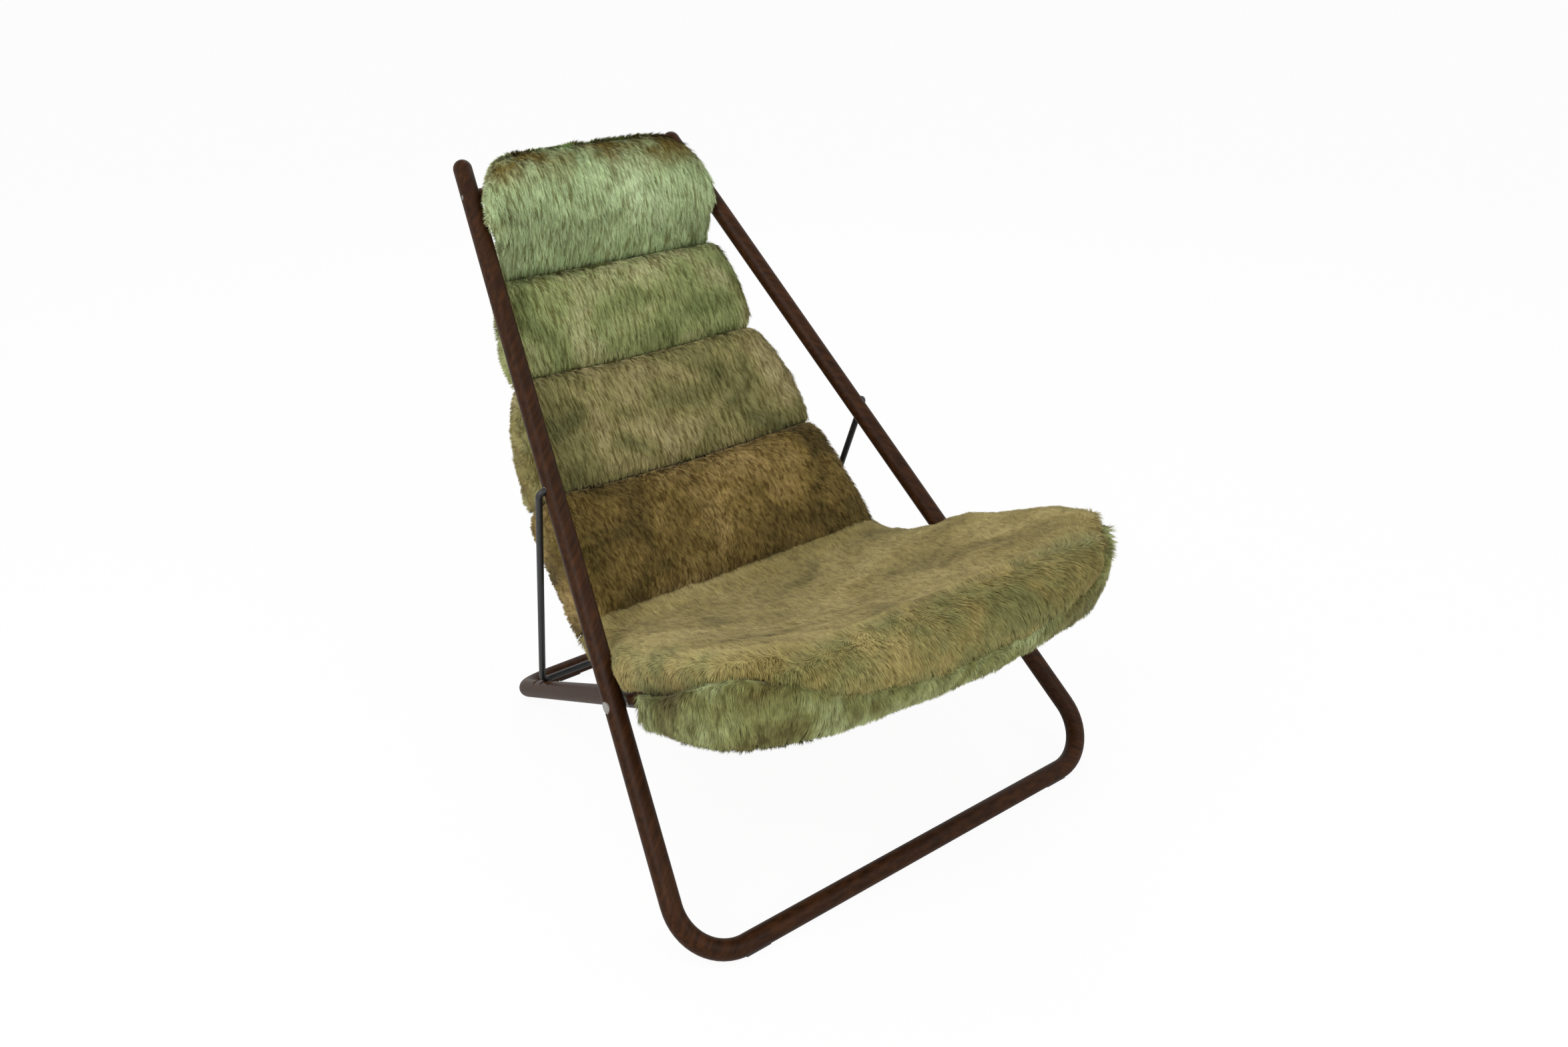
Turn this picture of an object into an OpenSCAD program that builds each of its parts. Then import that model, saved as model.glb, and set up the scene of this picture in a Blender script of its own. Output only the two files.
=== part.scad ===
// Folding deck chair: two bent-wood frames, a steel prop and a quilted fur sling.
// Millimetres. X to the right, Y to the back, Z up; the origin is on the floor under the front bar.

/* [Bent rails] */
// Diameter of the bent wooden rails
rail_diameter = 28; // [22:1:36]
// Depth of the flat planed under each floor bar
bar_flat_depth = 1.5; // [0.5:0.5:3]

/* [Front frame] */
// Lean of the front frame back from upright, in degrees
front_lean = 45.5; // [35:0.5:55]
// Half the width of the front frame at the floor bar, to the rail centres
front_bar_half_width = 378; // [300:1:450]
// Half the width of the front frame at the crossbar, to the rail centres
crossbar_half_width = 192; // [150:1:260]
// Distance up the rails from the floor bar to the crossbar
crossbar_along = 1116; // [950:1:1250]
// Length of rail that stands above the crossbar
rail_horn_length = 62; // [30:1:100]
// Bend radius of the front frame's floor corners
front_corner_radius = 72; // [50:1:110]
// Diameter of the crossbar
crossbar_diameter = 21; // [16:1:26]

/* [Rear frame] */
// Distance up the front rails from the floor bar to the pivot
pivot_along = 344; // [280:1:420]
// Distance from the pivot to the rear floor bar
rear_bar_back = 513; // [420:1:620]
// Distance from the pivot forward to the seat bow
bow_forward = 325; // [260:1:400]
// Half the width of the rear frame at its floor bar, to the rail centres
rear_bar_half_width = 240; // [190:1:280]
// Bend radius of the rear frame's floor corners
rear_corner_radius = 62; // [45:1:100]
// Bend radius of the seat bow's corners
bow_corner_radius = 108; // [60:1:120]
// Length of the bow's straight legs beyond its corner bends
bow_leg_length = 8; // [4:1:30]
// Gap between the two frames at the pivot
frame_gap = 2; // [1:0.5:4]

/* [Prop] */
// Diameter of the prop rod
prop_diameter = 10; // [8:0.5:14]
// Distance up the front rails from the floor bar to the prop's pins
prop_along = 650; // [560:1:760]
// Half the width of the prop at its foot bar, to the rod's centre
prop_foot_half_width = 257; // [245:1:275]
// Bend radius of the prop rod
prop_bend_radius = 14; // [10:1:24]
// Distance from the rear bar up the rails to the notch in use
notch_from_rear_bar = 146; // [90:1:200]
// Distance between neighbouring notches
notch_pitch = 36; // [26:1:50]
// Depth of each notch below the rail's top line
notch_depth = 3; // [1:0.5:5]
// Number of notches in each rail
notch_count = 3; // [1:2:5]

/* [Fittings] */
// Diameter of the pivot bolts
bolt_diameter = 8; // [6:0.5:10]
// Diameter of the bolt heads, nuts and pivot washers
washer_diameter = 18; // [14:1:22]
// Depth of the flats cut into the rails round the pivot
spot_depth = 1.6; // [1:0.1:3]
// Height of the bolt heads and of the screw heads
head_height = 3; // [2:0.5:4]
// Height of the pivot nuts
nut_height = 6; // [4:0.5:8]
// Wall of the prop bushes
bush_wall = 1.5; // [1:0.5:3]
// Diameter of the crossbar screws
screw_diameter = 5; // [3:0.5:7]
// Length of the crossbar screws
screw_length = 45; // [30:1:70]
// Diameter of the bow's dowels
dowel_diameter = 12; // [8:1:16]
// Length of the bow's dowels
dowel_length = 36; // [20:1:60]
// Length of each floor glide
glide_length = 38; // [25:1:60]
// Width of each floor glide
glide_width = 18; // [10:1:20]
// Height of each floor glide
glide_height = 4; // [3:0.5:6]
// Distance of the front glides from the front bar's corners
front_glide_inset = 99; // [90:1:160]
// Distance of the rear glides from the rear bar's corners
rear_glide_inset = 90; // [80:1:140]

/* [Sling] */
// Thickness of the backing canvas
canvas_thickness = 2.4; // [1.5:0.1:4]
// How much narrower than the fur the canvas is, each side
canvas_inset = 20; // [10:1:30]
// Greatest depth of the back behind the plane of the front rails
sling_depth = 160; // [120:1:190]
// Distance up the rails from the floor bar to the crease
crease_along = 475; // [420:1:540]
// Full thickness of the seat pad
seat_thickness = 62; // [40:1:80]
// How much higher the seat's sides are than its middle
seat_rise = 66; // [30:1:90]
// How far the seat pad reaches past the middle of the bow's rod, at each side
seat_overhang = 7; // [0:1:9]
// Reach of the front roll in front of the bow
roll_reach = 79; // [50:1:95]
// Depth of the front roll below the bow
roll_drop = 73; // [50:1:90]
// Height of the front seam above the floor
front_seam_height = 400; // [370:1:420]

/* [Fits] */
// Running clearance of pins in bores
running_clearance = 0.05; // [0.02:0.01:0.1]
// Clearance at each face of a washer or nut
face_clearance = 0.1; // [0.05:0.05:0.3]
// Clearance of the sling from the frames
soft_clearance = 0.4; // [0.3:0.1:1]

/* [Part] */
// Node to show

/* [Hidden] */

overrun = 2;
joint_step = 0.1;
joint_overlap = 0.5;
wood = [0.36, 0.24, 0.15];
steel = [0.12, 0.12, 0.12];
fittings = [0.6, 0.55, 0.4];
fur = [0.68, 0.68, 0.5];
cloth = [0.75, 0.72, 0.6];

// Rails: the front frame's half width falls from the floor bar to the crossbar.
rail_radius = rail_diameter / 2;
bar_height = rail_radius - bar_flat_depth;
front_taper = (front_bar_half_width - crossbar_half_width) / crossbar_along;
front_rail_end = crossbar_along + rail_horn_length - rail_radius;
function front_half(along) = front_bar_half_width - front_taper * along;
function on_front(along, behind) = [
  along * sin(front_lean) + behind * cos(front_lean),
  bar_height + along * cos(front_lean) - behind * sin(front_lean)];

// Pivot: where both frames' rails cross; the rear frame slopes down from it to the floor.
pivot = on_front(pivot_along, 0);
rear_slope = asin((pivot[1] - bar_height) / rear_bar_back);
rear_pivot_half = front_half(pivot_along) - rail_diameter - frame_gap;
rear_taper = (rear_pivot_half - rear_bar_half_width) / rear_bar_back;
function rear_half(back) = rear_pivot_half - rear_taper * back;
function on_rear(back, above) = [
  pivot[0] + back * cos(rear_slope) + above * sin(rear_slope),
  pivot[1] - back * sin(rear_slope) + above * cos(rear_slope)];
bow_half = rear_half(-bow_forward);
seat_half_width = bow_half + seat_overhang;
front_glide_offset = front_bar_half_width - front_glide_inset;
rear_glide_offset = rear_bar_half_width - rear_glide_inset;
bow_taper_angle = atan(rear_taper);
bow_reach = bow_corner_radius * (1 + sin(bow_taper_angle)) + bow_leg_length;
bow = on_rear(-bow_forward, 0);

// Prop: hinged in the front rails, its foot bar in the middle notch of the rear rails.
prop_radius = prop_diameter / 2;
prop_pin = on_front(prop_along, 0);
notch_seat = rail_radius + prop_radius - notch_depth;
notch_radius = prop_radius + soft_clearance;
prop_foot = on_rear(rear_bar_back - notch_from_rear_bar, notch_seat);
prop_length = norm(prop_foot - prop_pin);
prop_angle = atan2(prop_foot[1] - prop_pin[1], prop_foot[0] - prop_pin[0]);
prop_gap = 3;
prop_pin_half = front_half(prop_along) + rail_radius + prop_gap + prop_radius;
pin_inner_end = front_half(prop_along) - rail_radius + head_height;

// Fittings worked out from the rails they sit in.
bolt_radius = bolt_diameter / 2;
washer_radius = washer_diameter / 2;
spot_radius = washer_radius + face_clearance;
front_spot = front_half(pivot_along) - rail_radius + spot_depth;
rear_outer_spot = rear_pivot_half + rail_radius - spot_depth;
rear_inner_spot = rear_pivot_half - rail_radius + spot_depth;
bolt_outer_end = front_half(pivot_along) + rail_radius - spot_depth;
bolt_inner_end = rear_inner_spot - nut_height;
screw_radius = screw_diameter / 2;
screw_outer_end = front_half(crossbar_along) + rail_radius - spot_depth;
crossbar_radius = crossbar_diameter / 2;
sleeve_gap = face_clearance;
crossbar_sleeve_radius = crossbar_radius + sleeve_gap + canvas_thickness;
bow_sleeve_radius = rail_radius + sleeve_gap + canvas_thickness;
tube_radius = bow_sleeve_radius + soft_clearance;

// Sling: the crease is the hinge line of the back canvas and the seat canvas.
crease_depth_share = 0.95;
hinge = on_front(crease_along, sling_depth * crease_depth_share);
seam_gap = 0.6;

// Plan of a bent rod: straight runs joined by round bends, anticlockwise in the XY plane. Each bend
// reaches a hair into its runs and is a hair thinner, so that they join as one solid.
function heading(points, i) = atan2(points[i + 1][1] - points[i][1], points[i + 1][0] - points[i][0]);
function along_heading(a) = [cos(a), sin(a)];
function wrap(a) = a > 180 ? a - 360 : a < -180 ? a + 360 : a;
function turn(points, i) = wrap(heading(points, i) - heading(points, i - 1));
function tangent(points, bends, i) =
  i == 0 || i == len(points) - 1 ? 0 : bends[i] * tan(turn(points, i) / 2);

module bent_rod(points, bends, radius) {
  for (i = [0 : len(points) - 2]) {
    a = heading(points, i);
    start = points[i] + tangent(points, bends, i) * along_heading(a);
    run = norm(points[i + 1] - points[i]) - tangent(points, bends, i) - tangent(points, bends, i + 1);
    translate([start[0], start[1], 0])
      rotate([0, 90, a])
        cylinder(r = radius, h = run);
  }
  for (i = [1 : len(points) - 2]) {
    a = heading(points, i - 1);
    start = points[i] - tangent(points, bends, i) * along_heading(a);
    centre = start + bends[i] * along_heading(a + 90);
    spare = joint_overlap / bends[i] * 180 / PI;
    translate([centre[0], centre[1], 0])
      rotate([0, 0, a - 90 - spare])
        rotate_extrude(angle = turn(points, i) + 2 * spare)
          translate([bends[i], 0])
            circle(r = radius - joint_step);
  }
}

module in_front_plane() {
  translate([0, 0, bar_height])
    rotate([90 - front_lean, 0, 0])
      children();
}

module in_rear_plane() {
  translate([0, pivot[0], pivot[1]])
    rotate([-rear_slope, 0, 0])
      children();
}

module both_sides() {
  children();
  mirror([1, 0, 0])
    children();
}

// A round bar along X at a place [y, z], from one distance from the middle to another.
module across(place, radius, from, to) {
  translate([from, place[0], place[1]])
    rotate([0, 90, 0])
      cylinder(r = radius, h = to - from);
}

module front_u(radius) {
  top = front_half(front_rail_end);
  bent_rod([[-top, front_rail_end], [-front_bar_half_width, 0], [front_bar_half_width, 0],
      [top, front_rail_end]],
    [0, front_corner_radius, front_corner_radius, 0], radius);
}

module rear_u(radius) {
  joint = bow_reach - bow_forward;
  bent_rod([[rear_half(joint), joint], [rear_bar_half_width, rear_bar_back],
      [-rear_bar_half_width, rear_bar_back], [-rear_half(joint), joint]],
    [0, rear_corner_radius, rear_corner_radius, 0], radius);
}

module bow_u(radius) {
  joint = bow_reach - bow_forward;
  bent_rod([[-rear_half(joint), joint], [-bow_half, -bow_forward], [bow_half, -bow_forward],
      [rear_half(joint), joint]],
    [0, bow_corner_radius, bow_corner_radius, 0], radius);
}

// Flat planed under a floor bar, in the plane of the floor and wide enough for the whole bar.
module bar_flat(y, half_width) {
  translate([-half_width - rail_diameter, y - rail_diameter, -rail_diameter])
    cube([2 * (half_width + rail_diameter), 2 * rail_diameter, rail_diameter]);
}

module glide(x, y, margin) {
  translate([x - glide_length / 2 - margin, y - glide_width / 2 - margin, -margin])
    cube([glide_length + 2 * margin, glide_width + 2 * margin, glide_height + margin]);
}

module front_frame() {
  crossbar = on_front(crossbar_along, 0);
  color(wood)
    difference() {
      union() {
        in_front_plane() {
          front_u(rail_radius);
          both_sides()
            translate([front_half(front_rail_end), front_rail_end, 0])
              sphere(r = rail_radius - joint_step);
        }
      }
      bar_flat(0, front_bar_half_width);
      glide(-front_glide_offset, 0, 0);
      glide(front_glide_offset, 0, 0);
      both_sides() {
        across(pivot, bolt_radius, rear_pivot_half, front_half(pivot_along) + rail_diameter);
        across(pivot, washer_radius, bolt_outer_end - head_height,
          front_half(pivot_along) + rail_diameter);
        across(pivot, spot_radius, front_spot - rail_radius, front_spot);
        across(crossbar, crossbar_radius, 0, front_half(crossbar_along));
        across(crossbar, screw_radius, 0, front_half(crossbar_along) + rail_diameter);
        across(crossbar, screw_diameter, screw_outer_end - head_height,
          front_half(crossbar_along) + rail_diameter);
        across(prop_pin, prop_radius + bush_wall, pin_inner_end,
          front_half(prop_along) + rail_diameter);
      }
    }
}

module top_crossbar() {
  crossbar = on_front(crossbar_along, 0);
  half = front_half(crossbar_along);
  color(wood)
    difference() {
      across(crossbar, crossbar_radius, -half, half);
      both_sides()
        across(crossbar, screw_radius, screw_outer_end - screw_length, half + overrun);
    }
}

module crossbar_screws() {
  crossbar = on_front(crossbar_along, 0);
  color(fittings)
    both_sides() {
      across(crossbar, screw_radius, screw_outer_end - screw_length, screw_outer_end);
      across(crossbar, screw_diameter, screw_outer_end - head_height, screw_outer_end);
    }
}

module front_glide_left() {
  color(steel)
    glide(-front_glide_offset, 0, 0);
}

module front_glide_right() {
  color(steel)
    glide(front_glide_offset, 0, 0);
}

// The bushes end just inside the rails' outer faces, so that they stay flush with the round rail.
module prop_bushes() {
  outer_end = front_half(prop_along) + rail_radius - spot_depth;
  bore = prop_radius + running_clearance;
  color(fittings)
    both_sides()
      difference() {
        across(prop_pin, prop_radius + bush_wall, pin_inner_end, outer_end);
        across(prop_pin, bore, pin_inner_end + face_clearance + bush_wall, outer_end + overrun);
      }
}

module pivot_bolts() {
  color(fittings)
    both_sides() {
      across(pivot, bolt_radius, bolt_inner_end, bolt_outer_end);
      across(pivot, washer_radius, bolt_outer_end - head_height, bolt_outer_end);
    }
}

module pivot_nuts() {
  color(fittings)
    both_sides()
      difference() {
        across(pivot, washer_radius, bolt_inner_end, rear_inner_spot - face_clearance);
        across(pivot, bolt_radius, bolt_inner_end - overrun, rear_inner_spot + overrun);
      }
}

module pivot_washers() {
  color(fittings)
    both_sides()
      difference() {
        across(pivot, washer_radius, rear_outer_spot, front_spot - face_clearance);
        across(pivot, bolt_radius + running_clearance, rear_outer_spot - overrun, front_spot + overrun);
      }
}

// Notches: half-round cuts across the rails, the prop's foot bar lies in the middle one.
module notches() {
  reach = rear_pivot_half + rail_diameter;
  for (i = [0 : notch_count - 1]) {
    back = rear_bar_back - notch_from_rear_bar + (i - (notch_count - 1) / 2) * notch_pitch;
    across([back, rail_radius + notch_radius - notch_depth - soft_clearance], notch_radius, -reach, reach);
  }
}

module bow_joint_dowels(radius) {
  joint = bow_reach - bow_forward;
  lean = atan(rear_taper);
  both_sides()
    translate([rear_half(joint), joint, 0])
      rotate([90, 0, lean])
        translate([0, 0, -dowel_length / 2])
          cylinder(r = radius, h = dowel_length);
}

module rear_frame() {
  color(wood)
    difference() {
      in_rear_plane()
        difference() {
          rear_u(rail_radius);
          notches();
          bow_joint_dowels(dowel_diameter / 2);
        }
      bar_flat(on_rear(rear_bar_back, 0)[0], rear_bar_half_width);
      glide(-rear_glide_offset, on_rear(rear_bar_back, 0)[0], 0);
      glide(rear_glide_offset, on_rear(rear_bar_back, 0)[0], 0);
      both_sides() {
        across(pivot, bolt_radius + running_clearance, rear_pivot_half - rail_diameter,
          rear_pivot_half + rail_diameter);
        across(pivot, spot_radius, rear_outer_spot, rear_outer_spot + rail_radius);
        across(pivot, spot_radius, rear_inner_spot - rail_radius, rear_inner_spot);
      }
    }
}

module seat_bow() {
  color(wood)
    in_rear_plane()
      difference() {
        bow_u(rail_radius);
        bow_joint_dowels(dowel_diameter / 2);
      }
}

module bow_dowels() {
  color(wood)
    in_rear_plane()
      bow_joint_dowels(dowel_diameter / 2);
}

module rear_glide_left() {
  color(steel)
    glide(-rear_glide_offset, on_rear(rear_bar_back, 0)[0], 0);
}

module rear_glide_right() {
  color(steel)
    glide(rear_glide_offset, on_rear(rear_bar_back, 0)[0], 0);
}

// Prop rod: legs outside the front rails, pins bent inwards into the bushes, foot bar across.
module prop_rod() {
  inner = pin_inner_end + 2 * face_clearance + bush_wall;
  color(steel)
    translate([0, prop_pin[0], prop_pin[1]])
      rotate([prop_angle, 0, 0])
        bent_rod([[inner, 0], [prop_pin_half, 0], [prop_foot_half_width, prop_length],
            [-prop_foot_half_width, prop_length], [-prop_pin_half, 0], [-inner, 0]],
          [0, prop_bend_radius / 2, prop_bend_radius, prop_bend_radius, prop_bend_radius / 2, 0],
          prop_radius);
}

module crossbar_sleeve() {
  crossbar = on_front(crossbar_along, 0);
  half = front_half(crossbar_along) - rail_radius - canvas_inset / 2;
  color(cloth)
    difference() {
      across(crossbar, crossbar_sleeve_radius, -half, half);
      across(crossbar, crossbar_radius + sleeve_gap, -half - overrun, half + overrun);
    }
}

module bow_sleeve() {
  half = bow_half - bow_corner_radius * (1 + sin(bow_taper_angle)) / cos(bow_taper_angle);
  color(cloth)
    difference() {
      across(bow, bow_sleeve_radius, -half, half);
      across(bow, rail_radius + sleeve_gap, -half - overrun, half + overrun);
    }
}

// Soft forms: closed skins through rings of points, all faces triangles.
module skin(rings) {
  n = len(rings[0]);
  m = len(rings);
  middle = [for (r = [rings[0], rings[m - 1]]) [for (k = [0 : 2]) [for (p = r) 1] * [for (p = r) p[k]] / n]];
  points = concat([for (r = rings) each r], middle);
  walls = [for (i = [0 : m - 2], j = [0 : n - 1])
    each [[i * n + j, i * n + (j + 1) % n, (i + 1) * n + j],
      [(i + 1) * n + j, i * n + (j + 1) % n, (i + 1) * n + (j + 1) % n]]];
  caps = [for (j = [0 : n - 1])
    each [[m * n, (j + 1) % n, j], [m * n + 1, (m - 1) * n + j, (m - 1) * n + (j + 1) % n]]];
  polyhedron(points = points, faces = concat(walls, caps));
}

// Section of a pad: flat foot, drawn-in sides and a crowned top that can be higher at its sides.
foot_steps = 4;
crown_steps = 14;
wing_inner_share = 0.3;
wing_outer_share = 0.9;
side_share = 0.35;
side_power = 0.6;
crown_power = 0.4;
function sign_power(v, p) = sign(v) * pow(abs(v), p);
function pad_section(half, foot, thick, rise, lift) =
  let (side = lift + (thick + rise - lift) * side_share)
  let (wing_in = foot + (half - foot) * wing_inner_share)
  let (wing_out = foot + (half - foot) * wing_outer_share)
  concat(
    [[-wing_out, lift], [-wing_in, lift]],
    [for (i = [0 : foot_steps]) [foot * (2 * i / foot_steps - 1), 0]],
    [[wing_in, lift], [wing_out, lift]],
    [for (i = [0 : crown_steps])
      let (a = 180 * i / crown_steps)
      let (k = sign_power(cos(a), side_power))
      [half * k, side + (thick + rise * k * k - side) * pow(sin(a), crown_power)]]);
function placed(section, base, up) = [for (p = section)
  [p[0], base[0] + p[1] * cos(up), base[1] + p[1] * sin(up)]];

// Back: rows of shares. Way up the rails, 1 at the crossbar and rows_start_share at the crease; half
// width of the rails there; depths of the back face, the front face in the middle and the front face
// at the sides, of sling_depth.
rows_start_share = 0.42563;
function row_along(row) = crease_along
  + (row[0] - rows_start_share) / (1 - rows_start_share) * (crossbar_along - crease_along);
lower_rows_share = [
  [0.4260, 0.878, 0.95, 0.60, 0.31],
  [0.4480, 0.890, 0.98, 0.51, 0.27],
  [0.4900, 0.905, 1.00, 0.48, 0.26],
  [0.5350, 0.925, 1.00, 0.51, 0.29],
  [0.5790, 0.945, 0.99, 0.54, 0.33],
  [0.5980, 0.930, 0.97, 0.61, 0.39]];
middle_rows_share = [
  [0.6020, 0.930, 0.96, 0.61, 0.39],
  [0.6220, 0.955, 0.93, 0.54, 0.35],
  [0.6700, 0.975, 0.83, 0.49, 0.31],
  [0.7150, 0.965, 0.74, 0.45, 0.30],
  [0.7420, 0.930, 0.69, 0.42, 0.29],
  [0.7570, 0.885, 0.66, 0.44, 0.32]];
upper_rows_share = [
  [0.7600, 0.885, 0.65, 0.44, 0.32],
  [0.7750, 0.930, 0.63, 0.35, 0.27],
  [0.8060, 0.955, 0.56, 0.25, 0.21],
  [0.8500, 0.955, 0.45, 0.15, 0.13],
  [0.8780, 0.940, 0.38, 0.15, 0.13],
  [0.8880, 0.915, 0.35, 0.21, 0.18]];
// The pillow: the same, and then its half width in front of the rails and whether it reaches there.
pillow_rows_share = [
  [0.8910, 0.895, 0.330, 0.20, 0.17, 0.895, 0],
  [0.9020, 0.905, 0.310, 0.06, 0.04, 0.905, 0],
  [0.9180, 0.905, 0.295, -0.14, -0.12, 0.910, 1],
  [0.9270, 0.905, 0.285, -0.21, -0.19, 0.955, 1],
  [0.9480, 0.905, 0.270, -0.32, -0.29, 0.985, 1],
  [0.9760, 0.905, 0.250, -0.39, -0.36, 1.000, 1],
  [1.0040, 0.900, 0.225, -0.41, -0.38, 1.000, 1],
  [1.0250, 0.890, 0.170, -0.35, -0.33, 0.980, 1],
  [1.0380, 0.860, 0.100, -0.24, -0.22, 0.930, 1]];
back_foot_share = 0.93;
front_facing = 180 - front_lean;
function back_half(row) = row[1] * front_half(row_along(row));
function back_place(row) = on_front(row_along(row), row[2] * sling_depth);
function back_ring(row) = placed(
  pad_section(back_half(row), back_half(row) * back_foot_share, (row[2] - row[3]) * sling_depth,
    (row[3] - row[4]) * sling_depth, 0),
  back_place(row), front_facing);

function pillow_lift(row) = row[6] * (row[2] * sling_depth + rail_radius + soft_clearance);
function pillow_ring(row) = placed(
  pad_section(row[5] * front_half(row_along(row)), back_half(row) * back_foot_share,
    (row[2] - row[3]) * sling_depth, (row[3] - row[4]) * sling_depth, pillow_lift(row)),
  back_place(row), front_facing);

module back_panel(rows) {
  color(fur)
    skin([for (row = rows) back_ring(row)]);
}

module back_panel_lower() {
  back_panel(lower_rows_share);
}

module back_panel_middle() {
  back_panel(middle_rows_share);
}

module back_panel_upper() {
  back_panel(upper_rows_share);
}

module head_pillow() {
  crossbar = on_front(crossbar_along, 0);
  half = front_half(crossbar_along);
  difference() {
    color(fur)
      skin([for (row = pillow_rows_share) pillow_ring(row)]);
    color(fur)
      across(crossbar, crossbar_sleeve_radius + soft_clearance, -half, half);
  }
}

// Canvas: a thin sheet just behind the foot of the fur.
function sheet_ring(half, base, up) = placed(
  [[-half, -soft_clearance], [-half, -soft_clearance - canvas_thickness],
    [half, -soft_clearance - canvas_thickness], [half, -soft_clearance]], base, up);
hinge_relief = canvas_thickness + soft_clearance;
hinge_relief_share = hinge_relief * (1 - rows_start_share) / (crossbar_along - crease_along);
relief_row_share = hinge_relief_share / (lower_rows_share[1][0] - lower_rows_share[0][0]);
back_canvas_rows = concat(
  [[for (k = [0 : 2]) lower_rows_share[0][k]
    + (lower_rows_share[1][k] - lower_rows_share[0][k]) * relief_row_share]],
  [for (i = [1 : len(lower_rows_share) - 1]) lower_rows_share[i]],
  [for (i = [1 : len(middle_rows_share) - 1]) middle_rows_share[i]],
  [for (i = [1 : len(upper_rows_share) - 1]) upper_rows_share[i]],
  [for (i = [1 : len(pillow_rows_share) - 4]) pillow_rows_share[i]]);

module back_canvas() {
  color(cloth)
    skin([for (row = back_canvas_rows)
      sheet_ring(back_half(row) - canvas_inset, back_place(row), front_facing)]);
}

// Seat: rows of shares. Way from the bow back to the hinge; height from the hinge up to the bow;
// direction of the fur in degrees; half width, thickness and rise of the sides.
seat_rows_share = [
  [0.924, -0.077, 115, 0.812, 0.92, 0.58],
  [0.826, -0.107, 104, 0.836, 0.98, 0.50],
  [0.723, -0.065, 97, 0.860, 1.00, 0.55],
  [0.671, -0.035, 94, 0.879, 1.00, 0.62],
  [0.636, -0.006, 92, 0.900, 1.00, 0.68],
  [0.615, 0.012, 92, 0.955, 1.00, 0.72],
  [0.558, 0.065, 90, 0.973, 1.02, 0.88],
  [0.497, 0.125, 90, 0.976, 1.01, 0.90],
  [0.415, 0.202, 90, 0.985, 0.98, 0.95],
  [0.302, 0.350, 90, 0.994, 0.95, 1.00],
  [0.209, 0.492, 90, 1.000, 0.90, 0.94],
  [0.1025, 0.670, 90, 0.976, 0.82, 0.76],
  [0.0655, 0.765, 90, 0.935, 0.71, 0.55],
  [0.0390, 0.860, 90, 0.890, 0.60, 0.35]];
// The front edge: way in front of the bow, of the roll's reach; half width and thickness.
front_rows_share = [
  [-0.240, 0.790, 0.63],
  [-0.546, 0.655, 0.53],
  [-0.735, 0.455, 0.33],
  [-0.825, 0.270, 0.16],
  [-0.860, 0.150, 0.05]];
// Over the bow: place across it in tube radii; half width and thickness.
bow_rows_share = [
  [1.05, 0.880, 0.15],
  [0.00, 0.850, 0.24],
  [-1.05, 0.800, 0.24]];
foot_half = rear_half(crease_along - pivot_along) - rail_diameter;
wing_rows = 2;
// Last rows, whose foot stays between the bow's corners.
corner_rows = 2;
corner_inset = 36;
bow_bar_half = bow_half - bow_corner_radius * (1 + sin(bow_taper_angle)) / cos(bow_taper_angle);
function seat_base(row) = [
  bow[0] + row[0] * (hinge[0] - bow[0]), hinge[1] + row[1] * (bow[1] - hinge[1])];

// Height of the rails' upper surfaces over a place on the seat, with the sling's clearance.
function over_rear(y) = pivot[1] - (y - pivot[0]) * tan(rear_slope) + tube_radius / cos(rear_slope);
function over_front(y) =
  bar_height + y / tan(front_lean) + (rail_radius + soft_clearance) / sin(front_lean);
function over_rails(y, wide) = wide ? max(over_rear(y), over_front(y)) : over_rear(y);
function seat_ring(i) =
  let (row = seat_rows_share[i])
  let (base = seat_base(row))
  let (lift = i < wing_rows ? 0 : max(0, over_rails(base[0], i > wing_rows + 2) - base[1]))
  let (half = row[3] * seat_half_width)
  let (foot_room = i >= len(seat_rows_share) - corner_rows ? bow_bar_half - corner_inset : foot_half)
  placed(pad_section(half, min(half - canvas_inset, foot_room),
    row[4] * seat_thickness, row[5] * seat_rise, lift), base, row[2]);
function front_ring(row) =
  let (half = row[1] * seat_half_width)
  placed(pad_section(half, half * back_foot_share, row[2] * seat_thickness, 0, 0),
    [bow[0] + row[0] * roll_reach, front_seam_height + seam_gap], 90);
function bow_ring(row) =
  let (half = row[1] * seat_half_width)
  placed(pad_section(half, half * back_foot_share, row[2] * seat_thickness, 0, 0),
    [bow[0] + row[0] * tube_radius, bow[1] + tube_radius + seam_gap], 90);
crease_gap_share = seam_gap / 2 * (1 - rows_start_share) / (crossbar_along - crease_along);
crease_row = [rows_start_share - crease_gap_share, lower_rows_share[0][1],
  lower_rows_share[0][2], lower_rows_share[0][3], lower_rows_share[0][4]];

module seat_panel() {
  color(fur)
    skin(concat([back_ring(crease_row)], [for (i = [0 : len(seat_rows_share) - 1]) seat_ring(i)],
      [for (row = bow_rows_share) bow_ring(row)], [for (row = front_rows_share) front_ring(row)]));
}

seat_canvas_rows = len(seat_rows_share) - 2;
module seat_canvas() {
  half = foot_half - canvas_inset / 2;
  color(cloth)
    skin(concat([sheet_ring(half, back_place(crease_row), front_facing)],
      [for (i = [0 : seat_canvas_rows - 1])
        sheet_ring(half, seat_base(seat_rows_share[i]), seat_rows_share[i][2])]));
}

// Front roll: a section carried round the bow, thickest in the middle of the front. Its inside
// follows the bow, with room for the bends that its flat faces cut short.
roll_section_share = [[1, 0.3], [0.97, -0.48], [0.83, -0.78], [0.6, -0.96], [0.31, -1], [0, -0.93],
  [-0.25, -0.75], [-0.3, -0.47]];
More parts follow.
